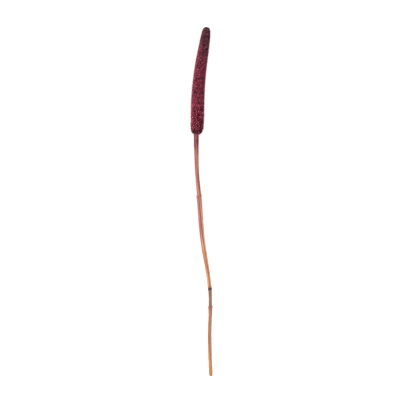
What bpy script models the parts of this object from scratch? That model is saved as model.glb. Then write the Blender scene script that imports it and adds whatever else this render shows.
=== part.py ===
"""A dried, dyed stem of pearl millet, lying on its side with its cut end towards -Y.

The seed head is a long spike covered in grain clusters. It sits on a stalk with one swollen
node, and two dry leaf sheaths wrap the stalk, open along one margin. Every length is in
metres. A place along the stem is its distance from the head's tip.
"""

import math
import random

import bmesh
import bpy
import numpy as np

# Overall
TIP_Y = 0.3498
CUT_AT = 0.6990
CUT_SLANT = math.radians(15.0)

# How far either side a line's and an outline's direction is read
LINE_STEP = 0.0020
OUTLINE_STEP = 0.0008

# Centre lines: distance from the tip, sideways place, height above the floor.
# The head follows its own underside, which lies on the floor.
HEAD_LINE = (
    (0.0000, 0.0104, 0.0086),
    (0.0170, 0.0080, 0.0094),
    (0.0420, 0.0042, 0.0109),
    (0.0680, -0.0002, 0.0119),
    (0.0940, -0.0036, 0.0125),
    (0.1320, -0.0070, 0.0131),
    (0.1720, -0.0082, 0.0134),
    (0.2060, -0.0083, 0.0134),
    (0.2146, -0.0104, 0.0134),
)
STALK_LINE = (
    (0.2000, -0.0102, 0.0133),
    (0.2150, -0.0106, 0.0134),
    (0.2460, -0.0104, 0.0137),
    (0.2760, -0.0098, 0.0139),
    (0.3020, -0.0084, 0.0139),
    (0.3260, -0.0060, 0.0138),
    (0.3580, -0.0033, 0.0136),
    (0.3940, -0.0009, 0.0130),
    (0.4380, 0.0038, 0.0118),
    (0.4740, 0.0098, 0.0107),
    (0.5060, 0.0148, 0.0098),
    (0.5240, 0.0167, 0.0093),
    (0.5600, 0.0176, 0.0080),
    (0.6160, 0.0160, 0.0060),
    (0.6660, 0.0172, 0.0044),
    (0.6990, 0.0184, 0.0035),
)

# Seed head: distance from the tip and radius over the grain, tip to base
HEAD_PROFILE = (
    (0.0000, 0.0000),
    (0.0012, 0.0032),
    (0.0050, 0.0059),
    (0.0170, 0.0088),
    (0.0420, 0.0107),
    (0.0680, 0.0117),
    (0.0940, 0.0123),
    (0.1320, 0.0130),
    (0.1720, 0.0134),
    (0.1880, 0.0131),
    (0.2020, 0.0122),
    (0.2100, 0.0101),
    (0.2140, 0.0073),
    (0.2146, 0.0052),
)
LUMPS_AROUND = 10
LUMP_DEPTH = 0.0014
LUMP_SPREAD = 0.0003
LUMP_SEED = 7
FULL_LUMP_RADIUS = 0.0060
FINEST_ROW = 0.0013
SOCKET_RADIUS = 0.0052
SOCKET_LIP = 0.0020
SOCKET_DEPTH = 0.0110

# Stalk: distance from the tip and radius, with the swollen node
STALK_RADII = (
    (0.2046, 0.0044),
    (0.2150, 0.0047),
    (0.2340, 0.0048),
    (0.2500, 0.0044),
    (0.2760, 0.0041),
    (0.3200, 0.0040),
    (0.3400, 0.0041),
    (0.3600, 0.0041),
    (0.3940, 0.0040),
    (0.4380, 0.0037),
    (0.4740, 0.0033),
    (0.5060, 0.0030),
    (0.5208, 0.0030),
)
NODE_RADII = (
    (0.5212, 0.0036),
    (0.5225, 0.0040),
    (0.5245, 0.0041),
    (0.5265, 0.0039),
    (0.5290, 0.0034),
)
LOWER_STALK_RADII = (
    (0.5350, 0.0033),
    (0.5540, 0.0031),
    (0.5660, 0.0028),
    (0.6200, 0.0027),
    (0.6990, 0.0026),
)
STALK_SIDES = 16
RING_STEP = 0.0125

# Leaf sheaths: distance from the tip and outer radius, then where the open margin runs,
# as an angle from straight up towards +X
SHEATH_WALL = 0.0005
MARGIN_GAP = 0.0007
SHEATH_SIDES = 14
UPPER_SHEATH = (
    (0.3370, 0.0054),
    (0.3440, 0.0051),
    (0.3600, 0.0050),
    (0.3940, 0.0049),
    (0.4380, 0.0046),
    (0.4740, 0.0042),
    (0.5060, 0.0039),
    (0.5205, 0.0039),
)
UPPER_MARGIN = (
    (0.3370, math.radians(-34.0)),
    (0.3800, math.radians(8.0)),
    (0.4100, math.radians(2.0)),
    (0.5205, math.radians(38.0)),
)
LOWER_SHEATH = (
    (0.5590, 0.0042),
    (0.5660, 0.0038),
    (0.6200, 0.0036),
    (0.6990, 0.0035),
)
LOWER_MARGIN = (
    (0.5590, math.radians(70.0)),
    (0.6990, math.radians(100.0)),
)

# Surface of each piece: sRGB colour and roughness, and the angle past which an edge is sharp
SHARP_EDGE = math.radians(50.0)
FINISHES = {
    "seed_head": ("7c3442", 0.85),
    "stem": ("b3766a", 0.55),
    "upper_sheath": ("c28572", 0.60),
    "lower_sheath": ("c08a63", 0.60),
}


def smooth(table, at):
    """The table's columns at these places, on cubic curves through its rows."""
    table = np.asarray(table, float)
    knots = table[:, 0]
    at = np.clip(np.asarray(at, float), knots[0], knots[-1])
    first = np.clip(np.searchsorted(knots, at) - 1, 0, len(knots) - 2)
    width = knots[first + 1] - knots[first]
    u = (at - knots[first]) / width
    columns = []
    for values in table[:, 1:].T:
        slope = np.gradient(values, knots)
        columns.append(
            values[first] * (2 * u**3 - 3 * u**2 + 1)
            + slope[first] * width * (u**3 - 2 * u**2 + u)
            + values[first + 1] * (3 * u**2 - 2 * u**3)
            + slope[first + 1] * width * (u**3 - u**2)
        )
    return columns


def centre(line, along):
    """Points of a centre line at these distances from the tip."""
    side, height = smooth(line, along)
    return np.stack([side, TIP_Y - np.asarray(along, float), height], axis=-1)


def place(line, along, radius, angle):
    """Points at these radii and angles about a centre line; angle 0 is up, 90 degrees +X."""
    along = np.asarray(along, float)
    ahead = centre(line, along - LINE_STEP) - centre(line, along + LINE_STEP)
    ahead /= np.linalg.norm(ahead, axis=-1, keepdims=True)
    side = np.cross(ahead, (0.0, 0.0, 1.0))
    side /= np.linalg.norm(side, axis=-1, keepdims=True)
    up = np.cross(side, ahead)
    out = np.sin(angle)[..., None] * side + np.cos(angle)[..., None] * up
    return centre(line, along) + np.asarray(radius)[..., None] * out


def turn(count, offset=0.0):
    return (np.arange(count) + offset) * (2 * math.pi / count)


def head_outline():
    """Rows over the grain from tip to base: place, radius, and the outward direction of each."""
    rows = np.asarray(HEAD_PROFILE)
    length = np.concatenate([[0], np.cumsum(np.linalg.norm(np.diff(rows, axis=0), axis=1))])
    table = np.column_stack([length, rows])
    around = 3 * LUMPS_AROUND
    stops = []
    reached = FINEST_ROW
    while reached < length[-1] - FINEST_ROW / 2:
        stops.append(reached)
        _, radius = smooth(table, reached)
        reached += max(FINEST_ROW, math.sqrt(3) * math.pi * radius / around)
    stops.append(length[-1])
    stops = np.asarray(stops)
    along, radius = smooth(table, stops)
    before = np.stack(smooth(table, stops - OUTLINE_STEP), axis=-1)
    after = np.stack(smooth(table, stops + OUTLINE_STEP), axis=-1)
    run = after - before
    run /= np.linalg.norm(run, axis=1, keepdims=True)
    outward = np.column_stack([-run[:, 1], run[:, 0]])
    return along, radius, outward


def head_mesh():
    """The spike as a lattice of triangles, one corner in three raised into a lump."""
    wobble = random.Random(LUMP_SEED)
    along, radius, outward = head_outline()
    around = 3 * LUMPS_AROUND
    rings = []
    last = len(along) - 1
    for row in range(last + 1):
        angle = turn(around, 0.5 * (row % 2))
        depth = np.zeros(around)
        if 0 < row < last:
            fade = min(1.0, radius[row] / FULL_LUMP_RADIUS)
            for k in range(around):
                raised = (k - row // 2 - row) % 3 == 0
                depth[k] = LUMP_SPREAD * wobble.random() if raised else LUMP_DEPTH * fade
        rings.append(
            place(
                HEAD_LINE,
                along[row] - depth * outward[row, 0],
                radius[row] - depth * outward[row, 1],
                angle,
            )
        )
    base = HEAD_PROFILE[-1][0]
    for depth in (SOCKET_LIP, SOCKET_DEPTH):
        angle = turn(around, 0.5 * (len(rings) % 2))
        rings.append(place(STALK_LINE, np.full(around, base - depth), SOCKET_RADIUS, angle))
    return lattice(rings, centre(HEAD_LINE, 0.0), centre(STALK_LINE, base - SOCKET_DEPTH))


def lattice(rings, first_pole, last_pole):
    """Triangles between rings whose corners sit half a step apart, closed by a fan at each end."""
    mesh = bmesh.new()
    loops = [[mesh.verts.new(point) for point in ring] for ring in rings]
    count = len(loops[0])
    for row, (here, there) in enumerate(zip(loops, loops[1:])):
        for k in range(count):
            after = (k + 1) % count
            if row % 2 == 0:
                mesh.faces.new((here[k], here[after], there[k]))
                mesh.faces.new((here[after], there[after], there[k]))
            else:
                mesh.faces.new((here[k], here[after], there[after]))
                mesh.faces.new((here[k], there[after], there[k]))
    for loop, pole in ((loops[0], first_pole), (loops[-1], last_pole)):
        middle = mesh.verts.new(pole)
        for k in range(count):
            mesh.faces.new((loop[k], loop[(k + 1) % count], middle))
    return mesh


def stalk_table():
    return STALK_RADII + NODE_RADII + LOWER_STALK_RADII


def stalk_stops():
    """Places of the stalk's rings: even steps, with every ring of the node and every end."""
    fixed = [row[0] for row in NODE_RADII]
    fixed += [STALK_RADII[0][0], STALK_RADII[-1][0], CUT_AT]
    fixed += [UPPER_SHEATH[0][0], UPPER_SHEATH[-1][0], LOWER_SHEATH[0][0]]
    fixed = sorted(set(fixed))
    stops = []
    for a, b in zip(fixed, fixed[1:]):
        pieces = max(1, round((b - a) / RING_STEP))
        stops += [a + (b - a) * i / pieces for i in range(pieces)]
    return np.asarray(stops + [fixed[-1]])


def slanted(along, radius, angle):
    """Moves the ring at the cut along the stalk, so that the cut is oblique."""
    at_cut = np.isclose(along, CUT_AT)
    return along + at_cut * radius * math.tan(CUT_SLANT) * np.sin(angle)


def tube(rings):
    """A closed skin over rings with the same count of corners, flat at both ends."""
    mesh = bmesh.new()
    loops = [[mesh.verts.new(point) for point in ring] for ring in rings]
    count = len(loops[0])
    for here, there in zip(loops, loops[1:]):
        for k in range(count):
            after = (k + 1) % count
            mesh.faces.new((here[k], here[after], there[after], there[k]))
    return mesh, loops


def stalk_mesh():
    rings = []
    angle = turn(STALK_SIDES)
    for stop in stalk_stops():
        (radius,) = smooth(stalk_table(), stop)
        reach = np.full(STALK_SIDES, radius)
        rings.append(place(STALK_LINE, slanted(stop, reach, angle), reach, angle))
    mesh, loops = tube(rings)
    mesh.faces.new(loops[0])
    mesh.faces.new(loops[-1])
    return mesh


def sheath_mesh(radii, margin):
    """A thin wall wound round the stalk from one edge of its open margin to the other."""
    first, last = radii[0][0], radii[-1][0]
    stops = stalk_stops()
    stops = stops[(stops >= first - 1e-6) & (stops <= last + 1e-6)]
    rings = []
    for stop in stops:
        (outer,) = smooth(radii, stop)
        (open_at,) = smooth(margin, stop)
        half_gap = MARGIN_GAP / (2 * outer)
        angle = np.linspace(open_at + half_gap, open_at + 2 * math.pi - half_gap, SHEATH_SIDES)
        angle = np.concatenate([angle, angle[::-1]])
        reach = np.repeat([outer, outer - SHEATH_WALL], SHEATH_SIDES)
        rings.append(place(STALK_LINE, slanted(stop, reach, angle), reach, angle))
    mesh, loops = tube(rings)
    for loop in (loops[0], loops[-1]):
        for k in range(SHEATH_SIDES - 1):
            inner = 2 * SHEATH_SIDES - 1 - k
            mesh.faces.new((loop[k], loop[k + 1], loop[inner - 1], loop[inner]))
    return mesh


def linear(value):
    return value / 12.92 if value <= 0.04045 else ((value + 0.055) / 1.055) ** 2.4


def finish(name):
    """A matte dry surface in the piece's own colour."""
    colour, roughness = FINISHES[name]
    channels = [linear(int(colour[i : i + 2], 16) / 255) for i in (0, 2, 4)]
    material = bpy.data.materials.new(name)
    material.use_nodes = True
    shader = material.node_tree.nodes["Principled BSDF"]
    shader.inputs["Base Color"].default_value = (*channels, 1.0)
    shader.inputs["Roughness"].default_value = roughness
    shader.inputs["Metallic"].default_value = 0.0
    material.diffuse_color = (*channels, 1.0)
    return material


def add(name, mesh):
    bmesh.ops.recalc_face_normals(mesh, faces=mesh.faces)
    data = bpy.data.meshes.new(name)
    mesh.to_mesh(data)
    mesh.free()
    data.shade_smooth()
    data.set_sharp_from_angle(angle=SHARP_EDGE)
    data.materials.append(finish(name))
    obj = bpy.data.objects.new(name, data)
    bpy.context.scene.collection.objects.link(obj)


def main():
    for obj in list(bpy.data.objects):
        bpy.data.objects.remove(obj, do_unlink=True)
    add("seed_head", head_mesh())
    add("stem", stalk_mesh())
    add("upper_sheath", sheath_mesh(UPPER_SHEATH, UPPER_MARGIN))
    add("lower_sheath", sheath_mesh(LOWER_SHEATH, LOWER_MARGIN))


main()
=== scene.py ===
# %% [markdown]
# # A dried stem of pearl millet
# The object is one stem of pearl millet that was cut, dyed, dried and laid down. It has a long
# spike of grain, thick as a finger, on a jointed grass stalk with papery leaf sheaths around it.
# The plain solids come in first, as a frame that nothing moves. Each finished piece is then built
# in the space of the solid that it stands for.

# %% Load the frame
import math

import bpy
import numpy as np
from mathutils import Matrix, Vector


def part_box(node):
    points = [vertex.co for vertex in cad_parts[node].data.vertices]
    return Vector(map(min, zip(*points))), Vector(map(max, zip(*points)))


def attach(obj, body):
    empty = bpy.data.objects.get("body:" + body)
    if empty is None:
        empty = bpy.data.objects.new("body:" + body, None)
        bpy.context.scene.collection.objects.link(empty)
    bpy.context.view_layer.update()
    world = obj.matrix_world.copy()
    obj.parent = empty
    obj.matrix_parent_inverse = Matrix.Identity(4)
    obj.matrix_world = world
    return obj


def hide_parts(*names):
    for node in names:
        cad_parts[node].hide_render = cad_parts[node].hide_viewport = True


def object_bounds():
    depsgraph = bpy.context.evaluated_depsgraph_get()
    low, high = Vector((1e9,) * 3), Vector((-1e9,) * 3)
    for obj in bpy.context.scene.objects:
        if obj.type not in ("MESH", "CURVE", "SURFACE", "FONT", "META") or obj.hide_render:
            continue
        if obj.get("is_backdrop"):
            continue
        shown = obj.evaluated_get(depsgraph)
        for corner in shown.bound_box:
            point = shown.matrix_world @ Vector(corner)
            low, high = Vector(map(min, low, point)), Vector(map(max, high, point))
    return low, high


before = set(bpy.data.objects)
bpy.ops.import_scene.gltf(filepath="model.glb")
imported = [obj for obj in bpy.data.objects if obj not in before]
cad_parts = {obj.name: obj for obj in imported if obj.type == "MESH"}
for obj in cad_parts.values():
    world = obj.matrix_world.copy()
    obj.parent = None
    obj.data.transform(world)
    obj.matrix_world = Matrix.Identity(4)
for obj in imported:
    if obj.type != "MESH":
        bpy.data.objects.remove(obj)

SOLIDS_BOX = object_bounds()
print("solids:", sorted(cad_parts))
print("box in mm:", [[round(1000 * x, 1) for x in corner] for corner in SOLIDS_BOX])

# %% [markdown]
# ## Camera
# The photograph shows the stem upright. Here it lies down, so the camera looks straight down on it
# from high up, with a long lens, which keeps both ends at the same scale.

# %% Place the camera
PHOTO_PIXELS = 406
PIXEL = 0.002                      # metres of the stem across one pixel of the photograph
ORIGIN_PIXEL = (201.6, 201.9)      # where the frame's origin falls in the photograph
LENS = 100.0
SENSOR = 36.0


def add_object(name, data):
    """A new object in the scene."""
    thing = bpy.data.objects.new(name, data)
    bpy.context.scene.collection.objects.link(thing)
    return thing


camera = add_object("camera", bpy.data.cameras.new("camera"))
camera.data.lens = LENS
camera.data.sensor_width = SENSOR
camera.location = (
    (PHOTO_PIXELS / 2 - ORIGIN_PIXEL[0]) * PIXEL,
    (ORIGIN_PIXEL[1] - PHOTO_PIXELS / 2) * PIXEL,
    SOLIDS_BOX[1].z / 2 + PHOTO_PIXELS * PIXEL * LENS / SENSOR,
)
bpy.context.scene.camera = camera
print("camera height in m:", round(camera.location.z, 3))

# %% [markdown]
# ## Nodes and colours
# Every material and every Geometry Nodes tree below is made with one small function, which adds a
# node, sets it up and links what feeds it. Colours are read off the object as screen colours, and
# Blender mixes light in linear values, so one function turns the first into the second. A Map Range
# node's inputs go by number: 0 is the value, and it turns what lies between 1 and 2 into 3 to 4.

# %% Helpers for nodes
def colour(code):
    """A screen colour such as 7c3442 as a linear colour."""
    channels = [int(code[i : i + 2], 16) / 255 for i in (0, 2, 4)]
    linear = [c / 12.92 if c <= 0.04045 else ((c + 0.055) / 1.055) ** 2.4 for c in channels]
    return (*linear, 1.0)


def feed(node, key, value):
    """Gives an input its value, or links it to a socket, or to a node's first output in use."""
    if isinstance(value, bpy.types.Node):
        value = next(socket for socket in value.outputs if socket.enabled)
    if isinstance(value, bpy.types.NodeSocket):
        node.id_data.links.new(value, node.inputs[key])
    else:
        node.inputs[key].default_value = value


def add_node(tree, kind, feeds=None, stops=(), **settings):
    """Adds a node. feeds holds what goes into its inputs, by name or number. stops are the places
    and colours of a colour ramp."""
    node = tree.nodes.new(kind)
    for name, value in settings.items():
        setattr(node, name, value)
    for key, value in (feeds or {}).items():
        feed(node, key, value)
    for number, (place, code) in enumerate(stops):
        marks = node.color_ramp.elements
        mark = marks[number] if number < len(marks) else marks.new(place)
        mark.position = place
        mark.color = colour(code)
    return node


def new_material(name, roughness, gloss=0.5):
    """A node material with its own Principled shader, returned with its tree and the shader."""
    material = bpy.data.materials.new(name)
    material.use_nodes = True
    shader = material.node_tree.nodes["Principled BSDF"]
    feed(shader, "Roughness", roughness)
    feed(shader, "Specular IOR Level", gloss)
    return material, material.node_tree, shader


# Numbers of the Mix node's inputs when it mixes colours
MIX_FACTOR, MIX_A, MIX_B = 0, 6, 7
print("burgundy 7c3442 in linear values:", [round(channel, 3) for channel in colour("7c3442")])

# %% [markdown]
# ## Studio
# A pale matt floor, a large soft light high on the left, a weak fill and an even sky. The left side
# of the grain is then bright and its right side falls into shade, as on the real one. The floor has
# a sun of its own, so that it is white under a dark head, and the pale stalk gets a little more
# fill. Light linking does both: a collection of receivers says which things a light reaches. The
# denoiser runs without its prefilter, which would smooth away the fine mottle of the grain.

# %% Floor
FLOOR_HALF = 15.0              # metres, wide enough to fill every view
floor_mesh = bpy.data.meshes.new("floor")
floor_mesh.from_pydata(
    [(x * FLOOR_HALF, y * FLOOR_HALF, 0.0) for x, y in ((-1, -1), (1, -1), (1, 1), (-1, 1))],
    [],
    [(0, 1, 2, 3)],
)
floor = add_object("floor", floor_mesh)
# Uncoated paper gives a soft white without a highlight
paper, paper_tree, paper_shader = new_material("matt_white_paper", 0.9)
paper_grain = add_node(paper_tree, "ShaderNodeTexNoise", {"Scale": 3.0, "Detail": 2.0})
paper_tints = ((0.3, "f6f5f4"), (0.7, "fafaf9"))
paper_tint = add_node(paper_tree, "ShaderNodeValToRGB", {"Fac": paper_grain}, paper_tints)
feed(paper_shader, "Base Color", paper_tint)
floor_mesh.materials.append(paper)
floor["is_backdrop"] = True
print("floor:", floor.name, "with", paper.name)


# %% Lights
def soft_light(name, place, aim, side, watts):
    """A square soft light at a place, turned to face a point."""
    lamp = add_object(name, bpy.data.lights.new(name, "AREA"))
    lamp.data.shape = "SQUARE"
    lamp.data.size = side
    lamp.data.energy = watts
    lamp.location = place
    lamp.rotation_mode = "QUATERNION"
    direction = Vector(aim) - Vector(place)
    lamp.rotation_quaternion = direction.to_track_quat("-Z", "Y")
    return lamp


def light_only(lamp, things, state):
    """Makes a light reach these things only, or all but these, by a receiver collection."""
    receivers = bpy.data.collections.new(lamp.name + "_receivers")
    for number, thing in enumerate(things):
        receivers.objects.link(thing)
        receivers.collection_objects[number].light_linking.link_state = state
    lamp.light_linking.receiver_collection = receivers


KEY = soft_light("key", (-1.35, 0.25, 0.95), (0.0, 0.0, 0.0), 0.9, 42.0)
FILL = soft_light("fill", (1.0, -0.9, 0.55), (0.0, -0.2, 0.0), 0.8, 7.0)
STALK_FILL = soft_light("stalk_fill", (0.9, -0.15, 1.2), (0.0, -0.15, 0.0), 0.8, 16.0)
FLOOR_SUN = add_object("top", bpy.data.lights.new("top", "SUN"))
FLOOR_SUN.data.energy = 3.4
FLOOR_SUN.data.angle = math.radians(50)
light_only(KEY, [floor], "EXCLUDE")
light_only(FILL, [floor], "EXCLUDE")
light_only(FLOOR_SUN, [floor], "INCLUDE")

# %% Sky
HORIZON = (0.18, 1.05)         # how high on the sky, and its strength there and below
OVERHEAD = (0.32, 0.48)
world = bpy.data.worlds.new("sky")
world.use_nodes = True
sky_tree = world.node_tree
background = sky_tree.nodes["Background"]
feed(background, "Color", (1.0, 1.0, 1.0, 1.0))
heading = add_node(sky_tree, "ShaderNodeTexCoord")
parts = add_node(sky_tree, "ShaderNodeSeparateXYZ", {0: heading.outputs["Generated"]})
# White near the horizon, so that low views show no grey wall, and dimmer overhead
feeds = {0: parts.outputs["Z"], 1: HORIZON[0], 2: OVERHEAD[0], 3: HORIZON[1], 4: OVERHEAD[1]}
feed(background, "Strength", add_node(sky_tree, "ShaderNodeMapRange", feeds))
bpy.context.scene.world = world
bpy.context.scene.view_settings.view_transform = "Standard"
bpy.context.scene.cycles.denoising_prefilter = "NONE"
print("sky strength from the horizon to overhead:", HORIZON[1], OVERHEAD[1])

# %% [markdown]
# ## Where the stem runs
# The head and the stalk each follow a centre line, a few listed points that are the same as those
# of the solids. A place on the stem is its distance from the head's tip. Every surface is laid
# round
# such a line: a radius and an angle for each point, with angle 0 straight up and 90 degrees towards
# +X.

# %% Centre lines
CUT_AT = 0.6990
HEAD_LINE = (
    (0.0000, 0.0104, 0.0086),
    (0.0170, 0.0080, 0.0094),
    (0.0420, 0.0042, 0.0109),
    (0.0680, -0.0002, 0.0119),
    (0.0940, -0.0036, 0.0125),
    (0.1320, -0.0070, 0.0131),
    (0.1720, -0.0082, 0.0134),
    (0.1900, -0.0086, 0.0134),
    (0.2060, -0.0094, 0.0134),
    (0.2146, -0.0102, 0.0134),
)
STALK_LINE = (
    (0.2000, -0.0102, 0.0133),
    (0.2150, -0.0106, 0.0134),
    (0.2460, -0.0104, 0.0137),
    (0.2760, -0.0098, 0.0139),
    (0.3020, -0.0084, 0.0139),
    (0.3260, -0.0060, 0.0138),
    (0.3580, -0.0033, 0.0136),
    (0.3940, -0.0009, 0.0130),
    (0.4380, 0.0038, 0.0118),
    (0.4740, 0.0098, 0.0107),
    (0.5060, 0.0148, 0.0098),
    (0.5240, 0.0167, 0.0093),
    (0.5600, 0.0176, 0.0080),
    (0.6160, 0.0160, 0.0060),
    (0.6660, 0.0172, 0.0044),
    (0.6990, 0.0184, 0.0035),
)
print("stalk from", STALK_LINE[1][0], "to", CUT_AT, "m from the tip")

# %% Points around a centre line
TIP_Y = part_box("seed_head")[1].y
LINE_STEP = 0.0020             # half the stretch over which a line's direction is measured


def smooth(table, at):
    """The table's columns at these places, on cubic curves through its rows."""
    table = np.asarray(table, float)
    knots = table[:, 0]
    at = np.clip(np.asarray(at, float), knots[0], knots[-1])
    first = np.clip(np.searchsorted(knots, at) - 1, 0, len(knots) - 2)
    width = knots[first + 1] - knots[first]
    u = (at - knots[first]) / width
    columns = []
    for values in table[:, 1:].T:
        slope = np.gradient(values, knots)
        columns.append(
            values[first] * (2 * u**3 - 3 * u**2 + 1)
            + slope[first] * width * (u**3 - 2 * u**2 + u)
            + values[first + 1] * (3 * u**2 - 2 * u**3)
            + slope[first + 1] * width * (u**3 - u**2)
        )
    return columns


def centre(line, along):
    """Points of a centre line, at these distances from the tip."""
    side, height = smooth(line, along)
    return np.stack([side, TIP_Y - np.asarray(along, float), height], axis=-1)


def directions(line, along, angle):
    """Two unit vectors at each place: ahead towards the tip, and out from the line at the angle."""
    ahead = centre(line, along - LINE_STEP) - centre(line, along + LINE_STEP)
    ahead /= np.linalg.norm(ahead, axis=-1, keepdims=True)
    side = np.cross(ahead, (0.0, 0.0, 1.0))
    side /= np.linalg.norm(side, axis=-1, keepdims=True)
    up = np.cross(side, ahead)
    out = np.sin(angle)[..., None] * side + np.cos(angle)[..., None] * up
    return ahead, out


def surface_points(line, along, radius, angle):
    """Points at this radius and angle round a centre line."""
    _, out = directions(line, along, angle)
    return centre(line, along) + radius[..., None] * out


print("middle of the cut, in m:", centre(STALK_LINE, CUT_AT).round(4))

# %% [markdown]
# ## Skins
# Stalk, sheaths and the head's core are all skins over rings of points. One function joins the
# rings into quads that face outwards. It also stores where each point would be if the stem were
# straight, in an attribute named straight: fibres and stains read that, so they follow the bends.

# %% A skin over rings
def store(mesh, name, values):
    """Keeps one number, or one vector, at each point of a mesh. Materials and trees read it."""
    values = np.asarray(values, np.float32)
    kind, entry = ("FLOAT_VECTOR", "vector") if values.ndim == 2 else ("FLOAT", "value")
    mesh.attributes.new(name, kind, "POINT").data.foreach_set(entry, values.ravel())


def skin(name, line, along, radius, angle, poles=(), lids=False):
    """A closed mesh from rows of rings. poles are the places where it closes to a point before the
    first and after the last row. lids closes a thin folded wall at both ends instead."""
    rows, count = along.shape
    points = surface_points(line, along, radius, angle).reshape(-1, 3)
    flat = np.stack([radius * np.sin(angle), along, radius * np.cos(angle)], axis=-1)
    flat = flat.reshape(-1, 3)
    here = np.arange(rows * count).reshape(rows, count)
    after = np.roll(here, -1, axis=1)
    quads = np.stack([here[:-1], here[1:], after[1:], after[:-1]], axis=-1).reshape(-1, 4)
    faces = quads.tolist()
    if lids:
        half = count // 2
        for k in range(half - 1):
            far = count - 1 - k
            faces.append([int(i) for i in here[0, [k, k + 1, far - 1, far]]])
            faces.append([int(i) for i in here[-1, [k, far, far - 1, k + 1]]])
    for number, place in enumerate(poles):
        points = np.vstack([points, centre(line, place)])
        flat = np.vstack([flat, (0.0, place, 0.0)])
        tip = len(points) - 1
        ring, turned = (here[0], after[0]) if number == 0 else (after[-1], here[-1])
        faces += [[int(a), int(b), tip] for a, b in zip(ring, turned)]
    mesh = bpy.data.meshes.new(name)
    mesh.from_pydata(points.tolist(), [], faces)
    store(mesh, "straight", flat)
    mesh.shade_smooth()
    return add_object(name, mesh)


def wander(at, lengths, seed):
    """A smooth irregular curve from -1 to 1: sines of these wavelengths with seeded phases."""
    phases = np.random.default_rng(seed).uniform(0, 2 * math.pi, len(lengths))
    waves = [np.sin(2 * math.pi * at / length + phase) for length, phase in zip(lengths, phases)]
    return sum(waves) / len(waves)


def ease(at, start, end):
    """0 before start, 1 after end and smooth between."""
    t = np.clip((at - start) / (end - start), 0, 1)
    return t * t * (3 - 2 * t)


print("skins ready")

# %% [markdown]
# ## Stalk
# A millet stalk is a solid, jointed culm. Drying draws its skin into fine lengthwise ribs and makes
# it slightly oval, and it swells at the node, where a leaf sheath was attached. A computed skin
# fits this best, because the ribs, the swelling and the slanting cut are all functions of two
# numbers, the place along and the angle.

# %% Sizes of the stalk
STALK_RADII = (
    (0.2046, 0.0044),
    (0.2150, 0.0047),
    (0.2340, 0.0048),
    (0.2500, 0.0044),
    (0.2760, 0.0041),
    (0.3200, 0.0040),
    (0.3400, 0.0041),
    (0.3600, 0.0041),
    (0.3940, 0.0040),
    (0.4380, 0.0037),
    (0.4740, 0.0033),
    (0.5060, 0.0030),
    (0.5190, 0.0030),
    (0.5212, 0.0035),
    (0.5225, 0.0040),
    (0.5245, 0.0041),
    (0.5265, 0.0039),
    (0.5290, 0.0034),
    (0.5350, 0.0033),
    (0.5540, 0.0031),
    (0.5660, 0.0028),
    (0.6200, 0.0027),
    (0.6990, 0.0026),
)
NODE_AT = 0.5243
STALK_SIDES = 72
OVAL = 0.025                   # how far the section is from round, as a share of the radius
FINE_RIBS, BROAD_RIBS = 24, 17
RIB_HEIGHT = 0.00006
LONG_CREASE = math.radians(205)
NECK_CREASE = math.radians(48)
CREASE_DEPTH = 0.00022
LUMP_HEIGHT = 0.00009
# At the node: the scar of the leaf, a pinch, and a ring of root buds like small pearls
SCAR_HEIGHT = 0.00028
PINCH_DEPTH = 0.00022
BUDS, BUD_HEIGHT = 19, 0.00010
print("radius at the neck and at the cut, in m:", STALK_RADII[1][1], STALK_RADII[-1][1])

# %% Shape the stalk
CUT_SLANT = math.radians(15.0)


def slanted(along, radius, angle):
    """Slides points near the cut along the stalk, so that the cut is oblique."""
    near = ease(along, CUT_AT - 0.008, CUT_AT)
    return along + near * radius * math.tan(CUT_SLANT) * np.sin(angle)


def stalk_surface():
    """Place, radius and angle of each point of the skin, with more rows at the node."""
    coarse = np.arange(STALK_RADII[0][0], CUT_AT, 0.0013)
    fine = np.arange(NODE_AT - 0.006, NODE_AT + 0.007, 0.0003)
    stops = np.unique(np.concatenate([coarse, fine, [CUT_AT]]).round(6))
    turn = np.arange(STALK_SIDES) * (2 * math.pi / STALK_SIDES)
    along, angle = np.meshgrid(stops, turn, indexing="ij")
    (radius,) = smooth(STALK_RADII, along)
    oval = OVAL * np.cos(2 * (angle - 1.1 * wander(along, (0.31, 0.17), 3)))
    ribs = np.cos(FINE_RIBS * angle + 1.3 * wander(along, (0.05, 0.12), 5))
    ribs = ribs + 0.8 * np.cos(BROAD_RIBS * angle + 2.0 * wander(along, (0.07, 0.03), 6))
    drift = 0.3 * wander(along, (0.2, 0.4), 7)
    crease = np.exp(-(((angle - LONG_CREASE + drift) / 0.16) ** 2))
    neck_crease = np.exp(-(((angle - NECK_CREASE) / 0.13) ** 2))
    crease = crease + 0.7 * neck_crease * ease(along, 0.24, 0.21)
    lumps = LUMP_HEIGHT * wander(along + 0.003 * angle, (0.021, 0.013, 0.034), 8)
    radius = radius * (1 + oval) + RIB_HEIGHT * ribs / 1.8 - CREASE_DEPTH * crease + lumps
    below = along - NODE_AT
    scar = SCAR_HEIGHT * np.exp(-(((below + 0.0023) / 0.00035) ** 2))
    pinch = PINCH_DEPTH * np.exp(-(((below - 0.0004) / 0.00045) ** 2))
    buds = BUD_HEIGHT * np.cos(BUDS * angle) * np.exp(-(((below - 0.0012) / 0.0006) ** 2))
    return along, radius + scar - pinch + buds, angle


along, radius, angle = stalk_surface()
print("rows and columns of the stalk's skin:", along.shape)

# %% Close the cut end
PITH_SINK = 0.00025            # metres that the dried pith has sunk in
PITH_RINGS = (0.97, 0.92, 0.80, 0.55, 0.28)

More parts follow.
